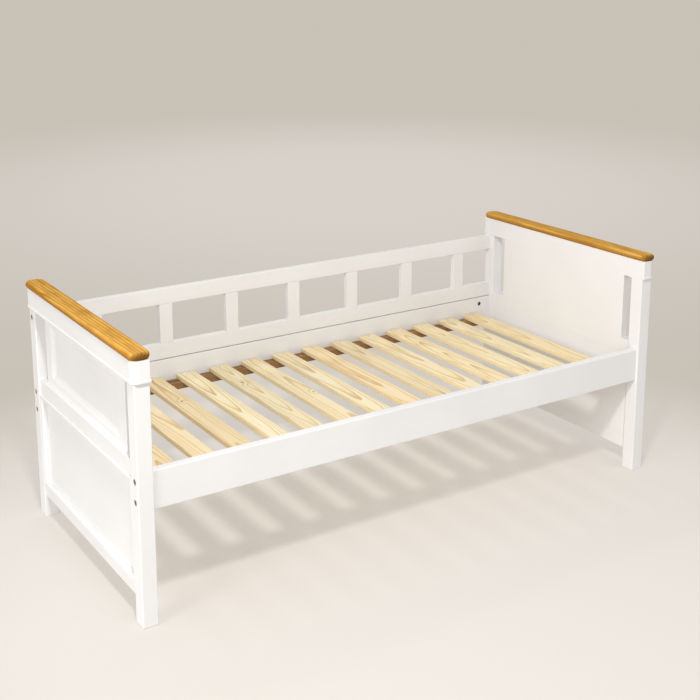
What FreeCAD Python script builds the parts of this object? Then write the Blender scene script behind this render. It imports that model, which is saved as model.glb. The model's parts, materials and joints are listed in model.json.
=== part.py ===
"""Daybed with panelled ends, a barred back guard and a slatted base.

Millimetres. X runs along the bed, Y from the open front (-) to the guard (+), Z up.
The origin is on the floor under the middle of the bed.
"""
import FreeCAD, Part
import math
import os

V = FreeCAD.Vector

# ---------------------------------------------------------------- driving dimensions
# whole bed
bed_length = 1740.0          # over the outer faces of the end posts
bed_width = 765.0            # over the front and rear faces of the posts
post_height = 639.0          # floor to the underside of the top rail

# end posts
post_x = 42.0
post_y = 45.0
post_round = 3.0
foot_chamfer = 2.0

# top rail of an end, and the bead along its lower edge
top_rail_height = 60.0
top_rail_overhang = 6.0      # past the posts, outside, front and rear
top_rail_corner = 20.0
bead_height = 11.0
bead_proud = 2.0
bead_round = 4.6

# wooden cap on the top rail
cap_height = 18.5
cap_overhang_out = 4.0       # past the top rail, outside, front and rear
cap_overhang_in = 5.0        # past the inner face of the end
cap_corner = 24.0
cap_nose = 8.6               # rounding of the cap's edges

# panelled part of an end
rail_recess = 6.0            # outer face of the mid and bottom rails behind the posts' outer face
rail_round = 1.5
mid_rail_z = 386.0
mid_rail_height = 44.0
bottom_rail_z = 67.0
bottom_rail_height = 35.0
wide_slot = 60.0             # hand slot beside one post of an end
narrow_slot = 32.0           # hand slot beside its other post
upper_panel_thickness = 24.0
upper_panel_round = 2.0
upper_margin_side = 42.0     # flat border around the sunk field
upper_margin_bottom = 20.0
upper_margin_top = 30.0
field_depth = 8.0
field_bevel = 16.0
lower_tongue = 10.0          # thickness of the lower panel's edge in the grooves
lower_panel_recess = 16.0    # its outer face behind the posts' outer face
groove_depth = 8.0
groove_clearance = 0.2
moulding_width = 18.0
moulding_proud = 5.0         # in front of the rails' outer face
moulding_nose = 8.0
moulding_lip = 3.0           # flat strip between the nose and the panel
moulding_step = 1.5
moulding_chamfer = 2.0

# front and back side rails
side_rail_height = 102.0
side_rail_z = 307.0
front_rail_thickness = 25.0
front_rail_setback = 7.0     # behind the posts' front face
back_board_thickness = 18.0  # back rail and guard
back_board_setback = 9.0     # in front of the posts' rear face
board_round = 2.5

# guard above the back rail
guard_gap = 3.0              # daylight between the back rail and the guard
guard_top_gap = 2.0          # under the top rail's bead
guard_rail_height = 50.0
guard_bar_width = 43.0
guard_bar_count = 7
guard_end_window = 123.7     # open length between the last bar and the post
guard_round = 1.5

# slatted base
slat_count = 14
slat_width = 62.0
slat_thickness = 15.0
slat_top_below_rail = 54.0   # slat top below the side rails' top edge
slat_end_margin = 58.0       # between an end and the nearest slat
slat_end_gap = 4.0           # between a slat's end and the side rail
slat_round = 2.5
ledger_width = 38.0
ledger_height = 22.0
ledger_end_gap = 56.0        # leaves the barrel nuts free
ledger_round = 1.5

# fasteners
bolt_radius = 3.0
bolt_hole_radius = 3.5
bolt_head_radius = 7.5
bolt_head_height = 2.5
bolt_head_round = 1.0
bolt_seat_radius = 8.0
bolt_seat_depth = 3.0
bolt_rail_length = 60.0      # bolt length past the post, into the rail
bolt_end_gap = 3.0           # hole left past the bolt's end
bolt_spacing = 54.0
hex_key = 4.0                # across flats
hex_depth = 4.5
nut_radius = 7.0
nut_hole_radius = 7.2
nut_from_end = 45.0          # barrel nut's axis to the rail's end
nut_back_wall = 2.5          # board left behind a barrel nut's hole
nut_sunk = 1.0               # nut's face below the board's face
nut_bore_clearance = 0.15
nut_slot = 1.2
dowel_radius = 4.0
dowel_length = 30.0
dowel_clearance = 0.1
dowel_end_gap = 1.0
dowel_chamfer = 0.8
end_dowel_rows = (9.0, 21.0)  # heights of the dowels from a cross rail's free edge
post_dowel_spacing = 20.0
panel_dowel_inset = 75.0     # from the upper panel's edge
cap_peg_length = 16.0
cap_peg_inset = 115.0        # from the posts' front and rear faces
screw_radius = 1.75
screw_head_radius = 3.5
screw_head_height = 2.2
screw_clearance = 0.1        # round the shank and head; the tip stands on the hole's bottom
screw_recess_depth = 1.4
screw_recess_radius = 1.3
screw_recess_tip = 0.3
screw_from_end = 13.0
slat_screw_length = 30.0
ledger_screw_length = 50.0
ledger_screw_count = 6

# working margins
over = 1.0                   # how far a cutter runs past the face that it opens
tiny = 0.01

# ---------------------------------------------------------------- worked out from them
half_length = bed_length / 2
half_width = bed_width / 2
outer_x = -half_length                       # outer face of the left end
inner_x = outer_x + post_x                   # inner face of the left end
front_y = -half_width
rear_y = half_width
inner_length = bed_length - 2 * post_x
mid_rail_top = mid_rail_z + mid_rail_height
bottom_rail_top = bottom_rail_z + bottom_rail_height
upper_panel_outer = inner_x - upper_panel_thickness
upper_panel_front = wide_slot + post_y - half_width
upper_panel_rear = half_width - post_y - narrow_slot
lower_panel_x = outer_x + lower_panel_recess
lower_panel_half = half_width - post_y
rail_outer = outer_x + rail_recess
rail_mid_x = (rail_outer + inner_x) / 2
front_rail_y = front_y + front_rail_setback
front_rail_mid = front_rail_y + front_rail_thickness / 2
front_inner_y = front_rail_y + front_rail_thickness
back_inner_y = rear_y - back_board_setback - back_board_thickness
back_mid = back_inner_y + back_board_thickness / 2
side_rail_top = side_rail_z + side_rail_height
side_rail_mid = side_rail_z + side_rail_height / 2
guard_z = side_rail_top + guard_gap
guard_top = post_height - guard_top_gap
guard_lower_top = guard_z + guard_rail_height
guard_upper_z = guard_top - guard_rail_height
bar_pitch = (inner_length - 2 * guard_end_window - guard_bar_width) / (guard_bar_count - 1)
slat_top = side_rail_top - slat_top_below_rail
slat_z = slat_top - slat_thickness
slat_pitch = (inner_length - 2 * slat_end_margin - slat_width) / (slat_count - 1)
slat_first_x = inner_x + slat_end_margin + slat_width / 2
ledger_z = slat_z - ledger_height
bolt_zs = (side_rail_mid - bolt_spacing / 2, side_rail_mid + bolt_spacing / 2)
guard_bolt_z = guard_upper_z + guard_rail_height / 2
dowel_hole = dowel_radius + dowel_clearance

nodes = {}


# ---------------------------------------------------------------- helpers
def block(x0, x1, y0, y1, z0, z1):
    return Part.makeBox(x1 - x0, y1 - y0, z1 - z0, V(x0, y0, z0))


def rod(start, axis, radius, length):
    return Part.makeCylinder(radius, length, V(*start), V(*axis))


def edge_direction(edge):
    """0, 1 or 2 for a straight edge along X, Y or Z, otherwise None."""
    if not isinstance(edge.Curve, (Part.Line, Part.LineSegment)):
        return None
    start, end = edge.Vertexes[0].Point, edge.Vertexes[-1].Point
    run = (abs(end.x - start.x), abs(end.y - start.y), abs(end.z - start.z))
    along = run.index(max(run))
    return along if sum(run) - run[along] < tiny else None


def rounded(shape, radius, directions, keep=None):
    """Fillet the straight edges along the given directions; keep filters by the edge's middle."""
    edges = []
    for edge in shape.Edges:
        if edge_direction(edge) not in directions:
            continue
        middle = edge.BoundBox.Center
        if keep is None or keep(middle):
            edges.append(edge)
    return shape.makeFillet(radius, edges)


def both_ends(name, left):
    """Store a piece of the left end and its mirror image at the right end."""
    nodes["left_" + name] = left
    nodes["right_" + name] = left.mirror(V(0, 0, 0), V(1, 0, 0))


def turned_end(name, left):
    """Store a piece of the left end and the same piece, turned half a turn, at the right end."""
    right = left.copy()
    right.rotate(V(0, 0, 0), V(0, 0, 1), 180)
    nodes["left_" + name] = left
    nodes["right_" + name] = right


def both_sides(shapes):
    """The given solids and their mirror images at the right end."""
    return shapes + [s.mirror(V(0, 0, 0), V(1, 0, 0)) for s in shapes]


def drilled(shape, cutters):
    return shape.cut(Part.makeCompound(cutters)) if cutters else shape


def solid(shape):
    found = shape.Solids
    assert len(found) == 1, "a piece came out as %d solids" % len(found)
    return found[0]


# ---------------------------------------------------------------- dowels
# Each joint holds a dowel's centre on the joint face and its axis.
# The hole is exact on the side that the axis leaves and has an end gap on the other.
def dowel(joint):
    centre, axis = joint
    start = V(*centre) - V(*axis) * (dowel_length / 2)
    body = rod(tuple(start), axis, dowel_radius, dowel_length)
    return body.makeChamfer(dowel_chamfer, [e for e in body.Edges if isinstance(e.Curve, Part.Circle)])


def dowel_holes(joints):
    holes = []
    for centre, axis in joints:
        start = V(*centre) - V(*axis) * (dowel_length / 2)
        holes.append(rod(tuple(start), axis, dowel_hole, dowel_length + dowel_end_gap))
    return holes


def end_rail_joints(z):
    """Two dowels from an end's cross rail into a post, at the front and at the rear."""
    y = half_width - post_y
    return [((rail_mid_x, -y, z), (0, -1, 0)), ((rail_mid_x, y, z), (0, 1, 0))]


bottom_joints = []
mid_joints = []
for edge_distance in end_dowel_rows:
    bottom_joints += end_rail_joints(bottom_rail_z + edge_distance)
    mid_joints += end_rail_joints(mid_rail_top - edge_distance)
post_joints = bottom_joints + mid_joints
post_mid_x = inner_x - post_x / 2
post_mid_y = half_width - post_y / 2
post_top_joints = []
for side in (-1, 1):
    for offset in (-post_dowel_spacing / 2, post_dowel_spacing / 2):
        post_top_joints.append(((post_mid_x + offset, side * post_mid_y, post_height), (0, 0, 1)))
panel_dowel_x = inner_x - upper_panel_thickness / 2
panel_joint_front = upper_panel_front + panel_dowel_inset
panel_joint_rear = upper_panel_rear - panel_dowel_inset
panel_joint_ys = (panel_joint_front, (panel_joint_front + panel_joint_rear) / 2, panel_joint_rear)
panel_low_joints = [((panel_dowel_x, y, mid_rail_top), (0, 0, -1)) for y in panel_joint_ys]
panel_top_joints = [((panel_dowel_x, y, post_height), (0, 0, 1)) for y in panel_joint_ys]
cap_joint_y = half_width - cap_peg_inset
cap_joint_ys = (-cap_joint_y, 0, cap_joint_y)
cap_joint_z = post_height + top_rail_height


def cap_peg(y, grow=0.0, extra=0.0):
    """Short peg between the top rail and the cap."""
    start = (post_mid_x, y, cap_joint_z - cap_peg_length / 2)
    return rod(start, (0, 0, 1), dowel_radius + grow, cap_peg_length + extra)


# ---------------------------------------------------------------- bolts and barrel nuts
def bolt_lines():
    """Y, Z and board of every connector bolt at one end."""
    lines = [(front_rail_mid, z, "front") for z in bolt_zs]
    lines += [(back_mid, z, "back") for z in bolt_zs]
    lines.append((back_mid, guard_bolt_z, "guard"))
    return lines


def bolt(y, z):
    """Flat-headed connector bolt with a hexagon socket, its head sunk in the post's outer face."""
    seat = outer_x + bolt_seat_depth
    head = rod((seat - bolt_head_height, y, z), (1, 0, 0), bolt_head_radius, bolt_head_height)
    outer_rim = [e for e in head.Edges if e.BoundBox.XMax < seat - bolt_head_height + tiny]
    head = head.makeFillet(bolt_head_round, outer_rim)
    shank_length = post_x - bolt_seat_depth + bolt_rail_length
    shank = rod((seat, y, z), (1, 0, 0), bolt_radius, shank_length)
    corner = hex_key / math.sqrt(3)
    socket_x = seat - bolt_head_height - over
    ring = []
    for k in range(7):
        turn = math.radians(60 * k)
        ring.append(V(socket_x, y + corner * math.cos(turn), z + corner * math.sin(turn)))
    socket = Part.Face(Part.makePolygon(ring)).extrude(V(over + hex_depth, 0, 0))
    return solid(head.fuse(shank).cut(socket).removeSplitter())


def bolt_cut(y, z):
    """Counterbore and clearance hole through a post."""
    seat = rod((outer_x - over, y, z), (1, 0, 0), bolt_seat_radius, bolt_seat_depth + over)
    return seat.fuse(rod((outer_x, y, z), (1, 0, 0), bolt_hole_radius, post_x + over))


def bolt_cut_in_rail(y, z):
    return rod((inner_x - over, y, z), (1, 0, 0), bolt_hole_radius, over + bolt_rail_length + bolt_end_gap)


def nut_mouth(board):
    """Y of the face that a barrel nut goes in from, the way in and the board's thickness."""
    if board == "front":
        return front_inner_y, -1, front_rail_thickness
    if board == "back":
        return back_inner_y, 1, back_board_thickness
    return back_inner_y + back_board_thickness, -1, back_board_thickness


def nut_hole(board, z):
    mouth, way, thickness = nut_mouth(board)
    start = (inner_x + nut_from_end, mouth - way * over, z)
    return rod(start, (0, way, 0), nut_hole_radius, thickness - nut_back_wall + over)


def barrel_nut(board, y, z):
    """Cross dowel nut with a clear bore for the bolt and a slot to turn it by."""
    mouth, way, thickness = nut_mouth(board)
    length = thickness - nut_back_wall - nut_sunk
    x = inner_x + nut_from_end
    body = rod((x, mouth + way * nut_sunk, z), (0, way, 0), nut_radius, length)
    side = nut_radius + over
    bore = rod((x - side, y, z), (1, 0, 0), bolt_radius + nut_bore_clearance, 2 * side)
    slot_y = sorted((mouth + way * (nut_sunk - over), mouth + way * (nut_sunk + nut_slot)))
    slot = block(x - side, x + side, slot_y[0], slot_y[1], z - nut_slot / 2, z + nut_slot / 2)
    return solid(body.cut(bore).cut(slot))


# ---------------------------------------------------------------- the two ends
def post(side):
    """side is -1 for a front post and 1 for a rear post of the left end."""
    ys = sorted((side * half_width, side * (half_width - post_y)))
    body = block(outer_x, inner_x, ys[0], ys[1], 0, post_height)
    body = rounded(body, post_round, (2,))
    body = body.makeChamfer(foot_chamfer, [e for e in body.Edges if e.BoundBox.ZMax < tiny])
    cutters = dowel_holes([j for j in post_joints if j[0][1] * side > 0])
    cutters += dowel_holes([j for j in post_top_joints if j[0][1] * side > 0])
    wanted = ("front",) if side < 0 else ("back", "guard")
    cutters += [bolt_cut(y, z) for y, z, board in bolt_lines() if board in wanted]
    inner_face = side * (half_width - post_y)
    groove_ys = sorted((inner_face, inner_face + side * groove_depth))
    cutters.append(block(lower_panel_x - groove_clearance,
                         lower_panel_x + lower_tongue + groove_clearance,
                         groove_ys[0], groove_ys[1],
                         bottom_rail_top - groove_depth, mid_rail_z + groove_depth))
    cutters += [rod(tuple(start), (1, 0, 0), dowel_hole, dowel_length) for start in side_peg_starts(side)]
    return solid(drilled(body, cutters))


def side_peg_starts(side):
    """Start points of the pegs that locate the side rails and the guard on a post."""
    x = inner_x - dowel_length / 2
    if side < 0:
        return [V(x, front_rail_mid, side_rail_mid)]
    return [V(x, back_mid, side_rail_mid), V(x, back_mid, guard_z + guard_rail_height / 2)]


def cross_rail(z0, height, joints, groove_at_top):
    """Mid or bottom rail between the posts, grooved for the lower panel."""
    y = half_width - post_y
    body = block(rail_outer, inner_x, -y, y, z0, z0 + height)
    body = rounded(body, rail_round, (1,), lambda m: m.x < rail_mid_x)
    groove_zs = (z0 + height - groove_depth, z0 + height) if groove_at_top else (z0, z0 + groove_depth)
    groove = block(lower_panel_x - groove_clearance,
                   lower_panel_x + lower_tongue + groove_clearance,
                   -y, y, groove_zs[0], groove_zs[1])
    return solid(drilled(body, [groove] + dowel_holes(joints)))


def upper_panel():
    """Board between the hand slots, its outer side with a sunk field behind a bevelled border."""
    body = block(upper_panel_outer, inner_x, upper_panel_front, upper_panel_rear,
                 mid_rail_top, post_height)
    body = rounded(body, upper_panel_round, (2,))

    def outline(x, inset):
        y0 = upper_panel_front + upper_margin_side + inset
        y1 = upper_panel_rear - upper_margin_side - inset
        z0 = mid_rail_top + upper_margin_bottom + inset
        z1 = post_height - upper_margin_top - inset
        return Part.makePolygon([V(x, y0, z0), V(x, y1, z0), V(x, y1, z1), V(x, y0, z1), V(x, y0, z0)])

    slope = over * field_bevel / field_depth
    mouth = upper_panel_outer - over
    floor = upper_panel_outer + field_depth
    field = Part.makeLoft([outline(mouth, -slope), outline(floor, field_bevel)], True, True)
    return solid(drilled(body, [field] + dowel_holes(panel_low_joints + panel_top_joints)))


def lower_panel():
    """Board flush with the end's inner face, with a tongue in the grooves all round."""
    y = lower_panel_half - groove_clearance
    z0 = bottom_rail_top + groove_clearance
    z1 = mid_rail_z - groove_clearance
    board = block(lower_panel_x, inner_x, -y, y, z0, z1)
    tongue = block(lower_panel_x, lower_panel_x + lower_tongue,
                   -y - groove_depth, y + groove_depth, z0 - groove_depth, z1 + groove_depth)
    return solid(board.fuse(tongue).removeSplitter())


def moulding_profile(at):
    """Closed section of the panel moulding. at(depth, across) maps it into place.

    depth is measured from the panel towards the outside, across from the frame to the field.
    """
    face = lower_panel_recess - rail_recess + moulding_proud
    nose = moulding_nose
    lip_start = moulding_width - moulding_lip
    quarter = nose * math.sin(math.pi / 4)
    p = {
        "back_frame": at(0, 0),
        "front_frame": at(face - moulding_chamfer, 0),
        "front_start": at(face, moulding_chamfer),
        "front_end": at(face, lip_start - nose),
        "nose_mid": at(face - nose + quarter, lip_start - nose + quarter),
        "nose_end": at(face - nose, lip_start),
        "step": at(face - nose - moulding_step, lip_start),
        "lip": at(face - nose - moulding_step, moulding_width),
        "back_field": at(0, moulding_width),
    }
    edges = [
        Part.LineSegment(p["back_frame"], p["front_frame"]).toShape(),
        Part.LineSegment(p["front_frame"], p["front_start"]).toShape(),
        Part.LineSegment(p["front_start"], p["front_end"]).toShape(),
        Part.Arc(p["front_end"], p["nose_mid"], p["nose_end"]).toShape(),
        Part.LineSegment(p["nose_end"], p["step"]).toShape(),
        Part.LineSegment(p["step"], p["lip"]).toShape(),
        Part.LineSegment(p["lip"], p["back_field"]).toShape(),
        Part.LineSegment(p["back_field"], p["back_frame"]).toShape(),
    ]
    return Part.Face(Part.Wire(edges))


def mouldings():
    """Four mitred strips around the outer side of the lower panel."""
    y = lower_panel_half
    z0, z1 = bottom_rail_top, mid_rail_z
    x = lower_panel_x

    def mitre_wedge(points):
        return Part.Face(Part.makePolygon(points + [points[0]])).extrude(V(2 * post_x, 0, 0))

    centre_z = (z0 + z1) / 2
    reach = (z1 - z0) / 2
    left_x = x - post_x
    top_zone = mitre_wedge([V(left_x, -y, z1), V(left_x, y, z1),
                            V(left_x, y - reach, centre_z), V(left_x, -y + reach, centre_z)])
    low_zone = mitre_wedge([V(left_x, -y, z0), V(left_x, y, z0),
                            V(left_x, y - reach, centre_z), V(left_x, -y + reach, centre_z)])
    front_zone = mitre_wedge([V(left_x, -y, z0), V(left_x, -y, z1), V(left_x, -y + reach, centre_z)])
    rear_zone = mitre_wedge([V(left_x, y, z0), V(left_x, y, z1), V(left_x, y - reach, centre_z)])
    strips = {
        "top": (moulding_profile(lambda d, a: V(x - d, -y, z1 - a)), V(0, 2 * y, 0), top_zone),
        "bottom": (moulding_profile(lambda d, a: V(x - d, -y, z0 + a)), V(0, 2 * y, 0), low_zone),
        "front": (moulding_profile(lambda d, a: V(x - d, -y + a, z0)), V(0, 0, z1 - z0), front_zone),
        "rear": (moulding_profile(lambda d, a: V(x - d, y - a, z0)), V(0, 0, z1 - z0), rear_zone),
    }
    return {name: solid(face.extrude(run).common(zone)) for name, (face, run, zone) in strips.items()}


def top_rail():
    """Deep rail on the posts with a rounded bead along its lower edge."""
    x0 = outer_x - top_rail_overhang
    y = half_width + top_rail_overhang
    upper = block(x0, inner_x, -y, y, post_height + bead_height / 2, post_height + top_rail_height)
    upper = rounded(upper, top_rail_corner, (2,), lambda m: m.x < outer_x)
    upper = rounded(upper, post_round, (2,), lambda m: m.x > inner_x - tiny)
    bead = block(x0 - bead_proud, inner_x, -y - bead_proud, y + bead_proud,
                 post_height, post_height + bead_height)
    bead = rounded(bead, top_rail_corner + bead_proud, (2,), lambda m: m.x < outer_x)
    outer_edges = [e for e in bead.Edges
                   if e.BoundBox.ZLength < tiny and e.BoundBox.Center.x < inner_x - tiny]
    bead = bead.makeFillet(bead_round, outer_edges)
    body = upper.fuse(bead).removeSplitter()
    cutters = dowel_holes(post_top_joints + panel_top_joints)
    cutters += [cap_peg(y_peg, dowel_clearance) for y_peg in cap_joint_ys]
    return solid(drilled(body, cutters))


def cap():
    x0 = outer_x - top_rail_overhang - cap_overhang_out
    x1 = inner_x + cap_overhang_in
    y = half_width + top_rail_overhang + cap_overhang_out
    z0 = post_height + top_rail_height
    body = block(x0, x1, -y, y, z0, z0 + cap_height)
    body = rounded(body, cap_corner, (2,))
    rim = [e for e in body.Edges if e.BoundBox.ZLength < tiny]
    body = body.makeFillet(cap_nose, rim)
    return solid(drilled(body, [cap_peg(y_peg, dowel_clearance, dowel_end_gap) for y_peg in cap_joint_ys]))


both_ends("front_post", post(-1))
both_ends("rear_post", post(1))
both_ends("bottom_rail", cross_rail(bottom_rail_z, bottom_rail_height, bottom_joints, True))
turned_end("mid_rail", cross_rail(mid_rail_z, mid_rail_height, mid_joints + panel_low_joints, False))
both_ends("lower_panel", lower_panel())
turned_end("upper_panel", upper_panel())
for strip_name, strip in mouldings().items():
    both_ends("panel_moulding_" + strip_name, strip)
turned_end("top_rail", top_rail())
both_ends("cap", cap())
end_dowels = [dowel(j) for j in post_joints + post_top_joints + panel_low_joints + panel_top_joints]
end_dowels += [cap_peg(y) for y in cap_joint_ys]
turned_end("end_dowels", Part.makeCompound(end_dowels))


# ---------------------------------------------------------------- side rails and guard
def side_board(y0, y1, z0, z1, boards, peg_z, radius):
    """Board between the ends with its bolt, barrel nut and peg holes."""
    body = block(inner_x, -inner_x, y0, y1, z0, z1)
    body = rounded(body, radius, (0,))
    cutters = []
    for y, z, board in bolt_lines():
        if board in boards:
            cutters += [bolt_cut_in_rail(y, z), nut_hole(board, z)]
    peg_depth = over + dowel_length / 2 + dowel_end_gap
    peg = rod((inner_x - over, (y0 + y1) / 2, peg_z), (1, 0, 0), dowel_hole, peg_depth)
    return body, both_sides(cutters + [peg])


def ledger_screw_xs():
    """Ledger screws stand in the middle of gaps between slats, spread over the length."""
    gaps = slat_count - 1
    chosen = [round(k * (gaps - 1) / (ledger_screw_count - 1)) for k in range(ledger_screw_count)]
    return [slat_first_x + (gap + 0.5) * slat_pitch for gap in chosen]


def ledger_screw(face_y, way, grow=0.0):
    """Screws through a ledger into its rail. face_y is the ledger's free side."""
    z = ledger_z + ledger_height / 2
    made = []
    for x in ledger_screw_xs():
        made.append(countersunk(V(x, face_y, z), V(0, way, 0), ledger_screw_length, grow))
    return made


def countersunk(head, way, length, grow=0.0):
    """Countersunk screw, its head's face at head."""
    cone = Part.makeCone(screw_head_radius + grow, screw_radius + grow, screw_head_height, head, way)
    shank = Part.makeCylinder(screw_radius + grow, length - screw_head_height,
                              head + way * screw_head_height, way)
    body = cone.fuse(shank).removeSplitter()
    if grow:
        return body
    drive = Part.makeCone(screw_recess_radius, screw_recess_tip, screw_recess_depth, head, way)
    return body.cut(drive)


front_ledger_free = front_inner_y + ledger_width
back_ledger_free = back_inner_y - ledger_width
front_screw_holes = ledger_screw(front_ledger_free, -1, screw_clearance)
back_screw_holes = ledger_screw(back_ledger_free, 1, screw_clearance)

front_body, front_cuts = side_board(front_rail_y, front_inner_y, side_rail_z, side_rail_top,
                                    ("front",), side_rail_mid, board_round)
nodes["front_rail"] = solid(drilled(front_body, front_cuts + front_screw_holes))
back_body, back_cuts = side_board(back_inner_y, back_inner_y + back_board_thickness, side_rail_z,
                                  side_rail_top, ("back",), side_rail_mid, board_round)
nodes["back_rail"] = solid(drilled(back_body, back_cuts + back_screw_holes))


def bar_joints():
    """One dowel at each end of every guard bar."""
    joints = []
    for k in range(guard_bar_count):
        x = (k - (guard_bar_count - 1) / 2) * bar_pitch
        joints.append(((x, back_mid, guard_lower_top), (0, 0, -1)))
        joints.append(((x, back_mid, guard_upper_z), (0, 0, 1)))
    return joints


guard_back_y = back_inner_y + back_board_thickness
low_guard, low_cuts = side_board(back_inner_y, guard_back_y, guard_z, guard_lower_top, (),
                                 guard_z + guard_rail_height / 2, guard_round)
low_holes = dowel_holes([j for j in bar_joints() if j[1][2] < 0])
nodes["guard_bottom_rail"] = solid(drilled(low_guard, low_cuts + low_holes))
top_guard = rounded(block(inner_x, -inner_x, back_inner_y, guard_back_y, guard_upper_z, guard_top),
                    guard_round, (0,))
top_guard_cuts = both_sides([bolt_cut_in_rail(back_mid, guard_bolt_z), nut_hole("guard", guard_bolt_z)])
top_holes = dowel_holes([j for j in bar_joints() if j[1][2] > 0])
nodes["guard_top_rail"] = solid(drilled(top_guard, top_guard_cuts + top_holes))
for k in range(guard_bar_count):
    bar_x = (k - (guard_bar_count - 1) / 2) * bar_pitch
    bar = block(bar_x - guard_bar_width / 2, bar_x + guard_bar_width / 2, back_inner_y, guard_back_y,
                guard_lower_top, guard_upper_z)
    bar = rounded(bar, guard_round, (2,))
    bar_holes = dowel_holes([j for j in bar_joints() if abs(j[0][0] - bar_x) < tiny])
    nodes["guard_bar_%d" % (k + 1)] = solid(drilled(bar, bar_holes))
nodes["guard_dowels"] = Part.makeCompound([dowel(j) for j in bar_joints()])


# ---------------------------------------------------------------- slatted base
def ledger(y0, y1, holes):
    x = inner_length / 2 - ledger_end_gap
    body = block(-x, x, y0, y1, ledger_z, slat_z)
    body = rounded(body, ledger_round, (0,))
    return solid(drilled(body, holes + slat_screw_bodies(screw_clearance)))


def slat_xs():
    return [slat_first_x + k * slat_pitch for k in range(slat_count)]


slat_y0 = front_inner_y + slat_end_gap
slat_y1 = back_inner_y - slat_end_gap


def slat_screw_bodies(grow=0.0):
    made = []
    for x in slat_xs():
        for y in (slat_y0 + screw_from_end, slat_y1 - screw_from_end):
            made.append(countersunk(V(x, y, slat_top), V(0, 0, -1), slat_screw_length, grow))
    return made


nodes["front_ledger"] = ledger(front_inner_y, front_ledger_free, front_screw_holes)
nodes["back_ledger"] = ledger(back_ledger_free, back_inner_y, back_screw_holes)
slat_holes = slat_screw_bodies(screw_clearance)
for number, x_mid in enumerate(slat_xs(), 1):
    slat = block(x_mid - slat_width / 2, x_mid + slat_width / 2, slat_y0, slat_y1, slat_z, slat_top)
    slat = rounded(slat, slat_round, (1,))
    own_holes = [h for h in slat_holes if abs(h.BoundBox.Center.x - x_mid) < tiny]
    nodes["slat_%02d" % number] = solid(drilled(slat, own_holes))
nodes["slat_screws"] = Part.makeCompound(slat_screw_bodies())
nodes["ledger_screws"] = Part.makeCompound(ledger_screw(front_ledger_free, -1)
                                           + ledger_screw(back_ledger_free, 1))

# ---------------------------------------------------------------- connectors
left_bolts = [bolt(y, z) for y, z, board in bolt_lines()]
left_nuts = [barrel_nut(board, y, z) for y, z, board in bolt_lines()]
left_pegs = []
for side in (-1, 1):
    for peg_start in side_peg_starts(side):
        left_pegs.append(rod(tuple(peg_start), (1, 0, 0), dowel_radius, dowel_length))
nodes["connector_bolts"] = Part.makeCompound(both_sides(left_bolts))
nodes["barrel_nuts"] = Part.makeCompound(both_sides(left_nuts))
nodes["rail_pegs"] = Part.makeCompound(both_sides(left_pegs))

os.makedirs("parts", exist_ok=True)
for name, shape in nodes.items():
    shape.exportStep("parts/%s.step" % name)
print(len(nodes), "nodes,", sum(len(s.Solids) for s in nodes.values()), "solids")
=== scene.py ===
"""Looks of the daybed: paint, stained caps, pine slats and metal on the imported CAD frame.

Metres, in the CAD frame: X along the bed, Y from the open front to the guard, Z up.
"""
import json
import math
import random

import bpy
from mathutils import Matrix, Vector


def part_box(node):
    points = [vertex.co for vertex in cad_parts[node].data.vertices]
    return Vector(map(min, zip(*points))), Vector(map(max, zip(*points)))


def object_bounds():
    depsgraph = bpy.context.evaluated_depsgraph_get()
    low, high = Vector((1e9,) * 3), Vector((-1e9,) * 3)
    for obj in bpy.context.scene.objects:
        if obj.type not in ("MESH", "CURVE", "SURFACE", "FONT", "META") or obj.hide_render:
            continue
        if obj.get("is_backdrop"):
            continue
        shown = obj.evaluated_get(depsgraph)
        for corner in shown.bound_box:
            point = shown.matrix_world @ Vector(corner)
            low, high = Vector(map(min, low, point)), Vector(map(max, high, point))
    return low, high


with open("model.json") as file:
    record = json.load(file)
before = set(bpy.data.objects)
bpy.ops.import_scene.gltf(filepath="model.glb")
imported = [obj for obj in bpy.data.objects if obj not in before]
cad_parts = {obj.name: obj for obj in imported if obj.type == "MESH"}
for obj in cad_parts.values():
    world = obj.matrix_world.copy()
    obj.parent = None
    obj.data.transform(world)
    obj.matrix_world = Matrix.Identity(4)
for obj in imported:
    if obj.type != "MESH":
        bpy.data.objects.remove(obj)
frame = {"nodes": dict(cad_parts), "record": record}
cad_low, cad_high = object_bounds()

NODES = frame["nodes"]
X, Y, Z = 0, 1, 2

# camera
CAMERA_PLACE = Vector((-1.885, -2.883, 1.635))
CAMERA_AZIMUTH = 33.01       # degrees from +Y towards +X
CAMERA_DOWN = 12.17          # degrees below the horizon
CAMERA_LENS = 60.95          # millimetres, as the sensor
CAMERA_SENSOR = 36.0
CAMERA_SHIFT_Y = -0.2

# studio, with every place in metres
BACKDROP = (0.585, 0.536, 0.472)
BACKDROP_LIT_MIDDLE = (0.690, 0.635, 0.590)
FLOOR_COLOUR = (0.760, 0.730, 0.700)
# colour of the floor's glow near the bed: painted light
FLOOR_GLOW = (0.820, 0.765, 0.695)
FLOOR_RADIUS = 14.0
FLOOR_ROUGHNESS = 0.75
SPECK_SHADE = 0.97           # how light the floor's specks are beside the rest of it
SPECK_DEPTH = 0.0002
FLOOR_SINK = 0.0002          # floor below the feet, so that the two don't share a plane
GLOW_SHARE = 0.46            # share of the floor's light near the bed that is its own glow, painted light that lightens the bed's shadows
POOL_MIDDLE = (-0.15, -0.35, 0.0)
POOL_EDGE = (0.9, 1.9)       # from the lit pool's middle to where it starts and ends to fade
WALL_MIDDLE = (2.7, 4.2, 0.0)
WALL_EDGE = (1.0, 4.5)       # the same for the backdrop's lighter middle, a painted pool of light
SKY_COLOUR = (0.60, 0.60, 0.60)
SKY_FILL = 0.93              # strength of the light that comes from all round


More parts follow.
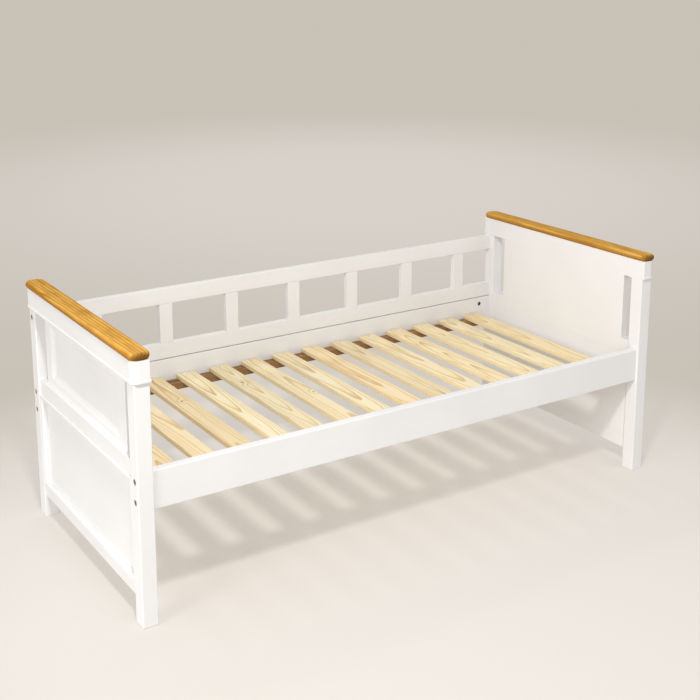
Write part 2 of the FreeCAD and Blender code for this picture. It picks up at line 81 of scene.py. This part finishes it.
# ---------------------------------------------------------------- node graphs
class Graph:
    """A material's node tree, with short calls for the nodes used here."""

    def __init__(self, name):
        self.material = bpy.data.materials.new(name)
        self.material.use_nodes = True
        self.tree = self.material.node_tree
        self.shader = self.tree.nodes["Principled BSDF"]
        self.place = self.node("ShaderNodeTexCoord").outputs["Object"]

    def node(self, kind, inputs=None, **settings):
        made = self.tree.nodes.new(kind)
        for key, value in settings.items():
            setattr(made, key, value)
        for key, value in (inputs or {}).items():
            self.feed(made.inputs[key], value)
        return made

    def feed(self, socket, value):
        if isinstance(value, bpy.types.NodeSocket):
            self.tree.links.new(value, socket)
        else:
            socket.default_value = value

    def math(self, operation, a, b=0.0):
        return self.node("ShaderNodeMath", {0: a, 1: b}, operation=operation).outputs[0]

    def stretched(self, scale, offset=(0, 0, 0)):
        """Object place times scale, so a large number makes the detail fine along that axis."""
        made = self.node("ShaderNodeMapping", {"Vector": self.place, "Location": offset, "Scale": scale})
        return made.outputs[0]

    def noise(self, vector, detail=2.0, roughness=0.5):
        made = self.node("ShaderNodeTexNoise", {"Vector": vector, "Scale": 1.0, "Detail": detail,
                                                "Roughness": roughness})
        return made.outputs["Fac"]

    def ramp(self, fac, stops):
        """stops are (position, colour)."""
        made = self.node("ShaderNodeValToRGB", {"Fac": fac})
        elements = made.color_ramp.elements
        while len(elements) < len(stops):
            elements.new(0.5)
        for element, (position, colour) in zip(elements, stops):
            element.position = position
            element.color = (*colour, 1.0)
        return made.outputs["Color"]

    def blend(self, fac, a, b):
        """Colour a where fac is 0, b where it is 1."""
        made = self.node("ShaderNodeMix", data_type="RGBA", blend_type="MIX")
        self.feed(made.inputs["Factor"], fac)
        for socket, value in (("A", a), ("B", b)):
            target = [s for s in made.inputs if s.name == socket and s.type == "RGBA"][0]
            self.feed(target, value if isinstance(value, bpy.types.NodeSocket) else (*value, 1.0))
        return [s for s in made.outputs if s.type == "RGBA"][0]

    def remap(self, value, low, high, to_low=0.0, to_high=1.0, smooth=False):
        """Value from the range low to high onto to_low to to_high, held level outside it."""
        made = self.node("ShaderNodeMapRange", {"Value": value, "From Min": low, "From Max": high,
                                                "To Min": to_low, "To Max": to_high})
        made.interpolation_type = "SMOOTHSTEP" if smooth else "LINEAR"
        return made.outputs["Result"]

    def surface(self, colour, roughness, bump, bump_distance, **constants):
        """bump is a height from 0 to 1 and bump_distance its full depth in metres."""
        self.feed(self.shader.inputs["Base Color"], colour)
        self.feed(self.shader.inputs["Roughness"], roughness)
        raised = self.node("ShaderNodeBump", {"Height": bump, "Distance": bump_distance, "Strength": 1.0})
        self.feed(self.shader.inputs["Normal"], raised.outputs["Normal"])
        for name, value in constants.items():
            self.shader.inputs[name.replace("_", " ")].default_value = value
        return self.material


def along(axis, grain, across):
    """A scale with grain on one axis and across on the other two."""
    return tuple(grain if k == axis else across for k in range(3))


# ---------------------------------------------------------------- materials
GRAIN_DEPTH = 0.00012        # from the lowest to the highest of the surface detail on wood
SCRATCH_DEPTH = 0.00005      # the same on metal
END_SOAK = 0.014             # how far the stain runs in from a board's end
KNOT_WIDTH = 0.62            # a knot's width over its length

PAINT_DULL = (0.770, 0.768, 0.772)
PAINT_BRIGHT = (0.802, 0.802, 0.806)
PAINT_GRAIN = (0.735, 0.728, 0.724)
# darker, warmer paint colour for the hollows: painted shade
PAINT_HOLLOW_SHADE = (0.66, 0.62, 0.57)

# stains: early wood, middle, late wood and knot
PINE = ((0.93, 0.860, 0.620), (0.88, 0.755, 0.470), (0.61, 0.42, 0.175), (0.42, 0.23, 0.090))
# the same pine made far darker for the ledgers: painted shade, since they lie under the slats
PINE_SHADED = ((0.34, 0.20, 0.075), (0.25, 0.13, 0.045), (0.12, 0.05, 0.015), (0.07, 0.03, 0.01))
HONEY = ((0.78, 0.46, 0.115), (0.64, 0.345, 0.068), (0.34, 0.150, 0.024), (0.080, 0.030, 0.008))
BEECH = ((0.66, 0.47, 0.27), (0.60, 0.41, 0.22), (0.46, 0.29, 0.14), (0.3, 0.17, 0.08))
HONEY_SEED = 40
PINE_SEED = 100
BEECH_SEED = 7
KNOT_FREE_END = 0.05         # no knot is nearer than this to a board's end

# metals: light and dark tone
BRONZE = ((0.44, 0.25, 0.070), (0.11, 0.050, 0.015))
DARK_BRONZE = ((0.16, 0.08, 0.03), (0.05, 0.025, 0.01))
ZINC = ((0.62, 0.60, 0.57), (0.44, 0.42, 0.40))


def painted(name, axis):
    """Satin white paint on planed wood: faint grain, a trace of the roller, warmer painted shade in the
    hollows.
    """
    g = Graph(name)
    grain = g.noise(g.stretched(along(axis, 3.0, 170.0)), detail=3.0, roughness=0.6)
    peel = g.noise(g.stretched((900.0, 900.0, 900.0)), detail=1.0)
    cloud = g.noise(g.stretched((5.0, 5.0, 5.0)), detail=2.0)
    tone = g.ramp(cloud, [(0.3, PAINT_DULL), (0.7, PAINT_BRIGHT)])
    tone = g.blend(g.remap(grain, 0.35, 0.75, 0.0, 0.22), tone, PAINT_GRAIN)
    # painted shade: concave places are painted darker and warmer
    hollow_shade_mask = g.node("ShaderNodeNewGeometry").outputs["Pointiness"]
    tone = g.blend(g.remap(hollow_shade_mask, 0.40, 0.49, 0.35, 0.0), tone, PAINT_HOLLOW_SHADE)
    roughness = g.remap(cloud, 0.3, 0.7, 0.34, 0.44)
    height = g.math("ADD", g.math("MULTIPLY", grain, 0.7), g.math("MULTIPLY", peel, 0.3))
    return g.surface(tone, roughness, height, GRAIN_DEPTH, Coat_Weight=0.12, Coat_Roughness=0.25)


def timber(name, axis, across, centre, stain, seed, ring, depth=0.07, knots=(),
           roughness=(0.5, 0.62), wander=0.006, aside=0.0, mottle=0.0, soak_and_shade=None, **constants):
    """Wood with true growth rings round a pith that runs along the axis.

    across: the wide and the thick axis of the board; centre: the middle of its box.
    stain: the colours of the early wood, the middle, the late wood and the knots.
    ring: width of a growth ring; wander: how far the rings stray from a circle.
    depth, aside: how far the pith lies below and beside the board's middle.
    knots: (across, along, radius) of each, from the board's middle.
    roughness: of the early and of the late wood.
    mottle: how unevenly the stain took along the grain.
    soaked: half length and half thickness of a board that took up more stain at its ends, and
    whose lower half is painted darker as painted shade.
    """
    g = Graph(name)
    chance = random.Random(seed)
    split = g.node("ShaderNodeSeparateXYZ", {"Vector": g.place}).outputs
    wide, thick = across
    run = split[axis]
    pith_wide = centre[wide] + aside + chance.uniform(-0.02, 0.02)
    pith_thick = centre[thick] - depth
    lean_wide = chance.uniform(-0.02, 0.02)
    lean_thick = chance.uniform(0.006, 0.020) * chance.choice((-1, 1))
    shift = tuple(chance.uniform(-5, 5) for _ in range(3))
    slow = g.noise(g.stretched(along(axis, 2.2, 9.0), shift), detail=2.0)
    fine = g.noise(g.stretched(along(axis, 9.0, 60.0), shift), detail=2.0, roughness=0.6)
    fibre = g.noise(g.stretched(along(axis, 14.0, 900.0), shift), detail=2.0, roughness=0.7)
    a = g.math("SUBTRACT", split[wide], pith_wide)
    a = g.math("ADD", a, g.math("MULTIPLY", run, lean_wide))
    b = g.math("SUBTRACT", split[thick], pith_thick)
    b = g.math("ADD", b, g.math("MULTIPLY", run, lean_thick))
    radius = g.math("SQRT", g.math("ADD", g.math("MULTIPLY", a, a), g.math("MULTIPLY", b, b)))
    radius = g.math("ADD", radius, g.math("MULTIPLY", g.math("SUBTRACT", slow, 0.5), wander * 2))
    radius = g.math("ADD", radius, g.math("MULTIPLY", g.math("SUBTRACT", fine, 0.5), ring * 0.35))
    mask = None
    for knot_wide, knot_run, size in knots:
        dx = g.math("SUBTRACT", split[wide], centre[wide] + knot_wide)
        dy = g.math("MULTIPLY", g.math("SUBTRACT", run, centre[axis] + knot_run), KNOT_WIDTH)
        away = g.math("SQRT", g.math("ADD", g.math("MULTIPLY", dx, dx), g.math("MULTIPLY", dy, dy)))
        away = g.math("ADD", away, g.math("MULTIPLY", g.math("SUBTRACT", fine, 0.5), size * 0.5))
        swell = g.remap(away, size * 0.6, size * 5.0, 1.0, 0.0, smooth=True)
        radius = g.math("ADD", radius, g.math("MULTIPLY", swell, ring * 1.1))
        core = g.remap(away, size * 0.75, size * 1.15, 1.0, 0.0, smooth=True)
        mask = core if mask is None else g.math("MAXIMUM", mask, core)
    phase = g.math("FRACT", g.math("DIVIDE", radius, ring))
    early, middle, late, knot_colour = stain
    rings = g.ramp(phase, [(0.0, early), (0.40, early), (0.70, middle),
                           (0.88, late), (0.95, late), (1.0, early)])
    tone = g.blend(g.remap(slow, 0.35, 0.65, 0.10, 0.55), rings, middle)
    tone = g.blend(g.remap(fibre, 0.35, 0.8, 0.0, 0.35), tone, late)
    if mottle:
        tone = g.blend(g.remap(fine, 0.42, 0.70, 0.0, mottle), tone, late)
    if soak_and_shade is not None:
        half_length, half_thickness = soak_and_shade
        reach = g.math("ABSOLUTE", g.math("SUBTRACT", run, centre[axis]))
        level = g.math("SUBTRACT", split[thick], centre[thick])
        end = g.remap(reach, half_length - END_SOAK, half_length, 0.0, 0.70, smooth=True)
        # painted shade: the lower half of the board is painted darker; the darker ends are stain in the end
        # grain
        lower_shade = g.remap(level, half_thickness * 0.1, half_thickness * 0.8, 0.70, 0.0, smooth=True)
        tone = g.blend(lower_shade, tone, late)
        tone = g.blend(end, tone, knot_colour)
    if mask is not None:
        tone = g.blend(g.math("MULTIPLY", mask, 0.85), tone, knot_colour)
    height = g.math("ADD", g.math("MULTIPLY", phase, 0.6), g.math("MULTIPLY", fibre, 0.4))
    return g.surface(tone, g.remap(phase, 0.0, 1.0, *roughness), height, GRAIN_DEPTH, **constants)


def metal(name, light, dark, roughness, metallic=1.0):
    """Plated or bronzed steel, blotchy and finely scratched."""
    g = Graph(name)
    blotch = g.noise(g.stretched((180.0, 180.0, 180.0)), detail=3.0, roughness=0.6)
    scratch = g.noise(g.stretched((60.0, 2500.0, 2500.0)), detail=1.0)
    tone = g.ramp(blotch, [(0.35, dark), (0.65, light)])
    height = g.math("ADD", g.math("MULTIPLY", blotch, 0.5), g.math("MULTIPLY", scratch, 0.5))
    rough = g.remap(blotch, 0.3, 0.7, roughness, roughness + 0.15)
    return g.surface(tone, rough, height, SCRATCH_DEPTH, Metallic=metallic)


# ---------------------------------------------------------------- pieces
def centre_of(name):
    """Middle of the node's box."""
    low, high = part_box(name)
    return (low + high) / 2


def toned(stain, chance):
    """The stain as one board takes it: a little paler or darker, yellower or browner."""
    light = chance.uniform(0.90, 1.02)
    yellow = chance.uniform(0.84, 1.02)
    return tuple((light * r, light * (0.5 + yellow / 2) * g, light * yellow * b) for r, g, b in stain)


def paint_node(name, material):
    """The node's faces all take the material."""
    mesh = NODES[name].data
    mesh.materials.clear()
    mesh.materials.append(material)


SLOTS = {entry["node"]: entry["material_slot"] for entry in frame["record"]["subparts"]}
BY_SLOT = {}
for node_name, slot_name in SLOTS.items():
    BY_SLOT.setdefault(slot_name, []).append(node_name)

painted_along = {axis: painted("white_paint_" + "xyz"[axis], axis) for axis in (X, Y, Z)}
for node_name in BY_SLOT["white_paint"]:
    low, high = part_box(node_name)
    size = high - low
    paint_node(node_name, painted_along[max((X, Y, Z), key=lambda k: size[k])])

for number, node_name in enumerate(sorted(BY_SLOT["honey_wood"])):
    low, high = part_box(node_name)
    paint_node(node_name, timber("honey_" + node_name, Y, (X, Z), centre_of(node_name), HONEY,
                                 HONEY_SEED + number, ring=0.0080, depth=0.05, roughness=(0.42, 0.50),
                                 wander=0.003, aside=0.075, mottle=0.60, Specular_IOR_Level=0.0,
                                 soak_and_shade=((high - low).y / 2, (high - low).z / 2)))

for node_name in sorted(BY_SLOT["pine"]):
    slat = node_name.startswith("slat")
    axis, across = (Y, (X, Z)) if slat else (X, (Y, Z))
    seed = int(node_name[-2:]) if slat else len(node_name)
    chance = random.Random(PINE_SEED + seed)
    low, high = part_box(node_name)
    reach = (high - low)[axis] / 2 - KNOT_FREE_END
    knots = [(chance.uniform(-0.022, 0.022), chance.uniform(-reach, reach), chance.uniform(0.0025, 0.0045))
             for _ in range(chance.choice((0, 0, 1)))]
    # the ledgers take the far darker pine as painted shade
    paint_node(node_name, timber("pine_" + node_name, axis, across, centre_of(node_name),
                                 toned(PINE if slat else PINE_SHADED, chance), seed,
                                 ring=chance.uniform(0.0026, 0.0042), depth=chance.uniform(0.04, 0.12),
                                 knots=knots, wander=0.0045))

for node_name in sorted(BY_SLOT["dowel_wood"]):
    axis = {"guard_dowels": Z, "rail_pegs": X}.get(node_name, Y)
    others = tuple(k for k in (X, Z, Y) if k != axis)
    paint_node(node_name, timber("beech_" + node_name, axis, others, centre_of(node_name), BEECH,
                                 BEECH_SEED, ring=0.003))

bronze = metal("bronzed_steel", *BRONZE, roughness=0.45, metallic=0.45)
dark_bronze = metal("dark_bronze_steel", *DARK_BRONZE, roughness=0.45, metallic=0.45)
zinc = metal("zinc_steel", *ZINC, roughness=0.34)
for node_name in BY_SLOT["bronzed_steel"]:
    paint_node(node_name, dark_bronze if node_name == "barrel_nuts" else bronze)
for node_name in BY_SLOT["zinc_steel"]:
    paint_node(node_name, zinc)


# ---------------------------------------------------------------- studio
def floor():
    """Pale floor that fades into the backdrop's tone away from the bed, and glows near it as painted light.
    """
    bpy.ops.mesh.primitive_circle_add(vertices=128, radius=FLOOR_RADIUS, fill_type="NGON",
                                      location=(0, 0, cad_low.z - FLOOR_SINK))
    disc = bpy.context.object
    disc.name = "floor"
    g = Graph("floor_paint")

    def distance_from(place):
        return g.node("ShaderNodeVectorMath", {0: g.place, 1: place}, operation="DISTANCE").outputs["Value"]

    far = g.remap(distance_from(POOL_MIDDLE), *POOL_EDGE, 0.0, 1.0, smooth=True)
    # painted light: the backdrop is lighter round its middle
    lit = g.remap(distance_from(WALL_MIDDLE), *WALL_EDGE, 1.0, 0.0, smooth=True)
    wall = g.blend(lit, BACKDROP, BACKDROP_LIT_MIDDLE)
    speck = g.noise(g.stretched((40.0, 40.0, 40.0)), detail=3.0)
    speck_colour = tuple(SPECK_SHADE * c for c in FLOOR_COLOUR)
    tone = g.blend(g.remap(speck, 0.3, 0.7, 0.0, 0.3), FLOOR_COLOUR, speck_colour)
    g.surface(tone, FLOOR_ROUGHNESS, speck, SPECK_DEPTH, Specular_IOR_Level=0.2)
    # painted light: near the bed the floor glows, which lightens the shadows under and round the bed
    glow = g.node("ShaderNodeEmission", {"Color": g.blend(far, FLOOR_GLOW, wall), "Strength": 1.0})
    share = g.remap(far, 0.0, 1.0, GLOW_SHARE, 1.0)
    mixed = g.node("ShaderNodeMixShader", {0: share, 1: g.shader.outputs[0], 2: glow.outputs[0]})
    g.feed(g.tree.nodes["Material Output"].inputs["Surface"], mixed.outputs[0])
    disc.data.materials.append(g.material)
    disc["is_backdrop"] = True


def backdrop():
    """Even light from all round; seen directly it is the backdrop's tone."""
    world = bpy.data.worlds.new("studio")
    bpy.context.scene.world = world
    world.use_nodes = True
    tree = world.node_tree
    seen = tree.nodes["Background"]
    seen.inputs["Color"].default_value = (*BACKDROP, 1.0)
    fill = tree.nodes.new("ShaderNodeBackground")
    fill.inputs["Color"].default_value = (*SKY_COLOUR, 1.0)
    fill.inputs["Strength"].default_value = SKY_FILL
    path = tree.nodes.new("ShaderNodeLightPath")
    chosen = tree.nodes.new("ShaderNodeMixShader")
    tree.links.new(path.outputs["Is Camera Ray"], chosen.inputs[0])
    tree.links.new(fill.outputs[0], chosen.inputs[1])
    tree.links.new(seen.outputs[0], chosen.inputs[2])
    tree.links.new(chosen.outputs[0], tree.nodes["World Output"].inputs["Surface"])


def lamp(name, place, target, size, watts, colour):
    """Round soft lamp at place, turned to target, size across."""
    data = bpy.data.lights.new(name, "AREA")
    data.shape = "DISK"
    data.size = size
    data.energy = watts
    data.color = colour
    made = bpy.data.objects.new(name, data)
    bpy.context.scene.collection.objects.link(made)
    made.location = place
    made.rotation_mode = "QUATERNION"
    made.rotation_quaternion = (Vector(target) - Vector(place)).to_track_quat("-Z", "Y")


def camera():
    """The camera at the photograph's viewing angle."""
    data = bpy.data.cameras.new("camera")
    data.lens = CAMERA_LENS
    data.sensor_width = CAMERA_SENSOR
    data.shift_y = CAMERA_SHIFT_Y
    made = bpy.data.objects.new("camera", data)
    bpy.context.scene.collection.objects.link(made)
    made.location = CAMERA_PLACE
    made.rotation_euler = (math.radians(90 - CAMERA_DOWN), 0, math.radians(-CAMERA_AZIMUTH))
    bpy.context.scene.camera = made


camera()
floor()
backdrop()
lamp("key", place=(-1.25, -1.75, 2.75), target=(0.1, 0.0, 0.2), size=0.30, watts=54.0,
     colour=(1.0, 0.965, 0.93))
lamp("rear", place=(0.9, 1.9, 2.7), target=(0.0, -0.2, 0.1), size=0.40, watts=9.0,
     colour=(1.0, 0.97, 0.95))
lamp("left", place=(-5.5, -1.8, 2.3), target=(0.0, 0.0, 0.35), size=2.2, watts=72.0,
     colour=(1.0, 0.98, 0.96))
lamp("low", place=(-3.6, -1.2, 0.6), target=(-0.2, 0.0, 0.3), size=1.4, watts=30.0,
     colour=(1.0, 0.98, 0.95))
lamp("front", place=(2.6, -3.4, 1.6), target=(0.4, 0.0, 0.35), size=1.8, watts=17.0,
     colour=(0.90, 0.96, 1.0))
bpy.context.scene.view_settings.view_transform = "Standard"

low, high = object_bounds()
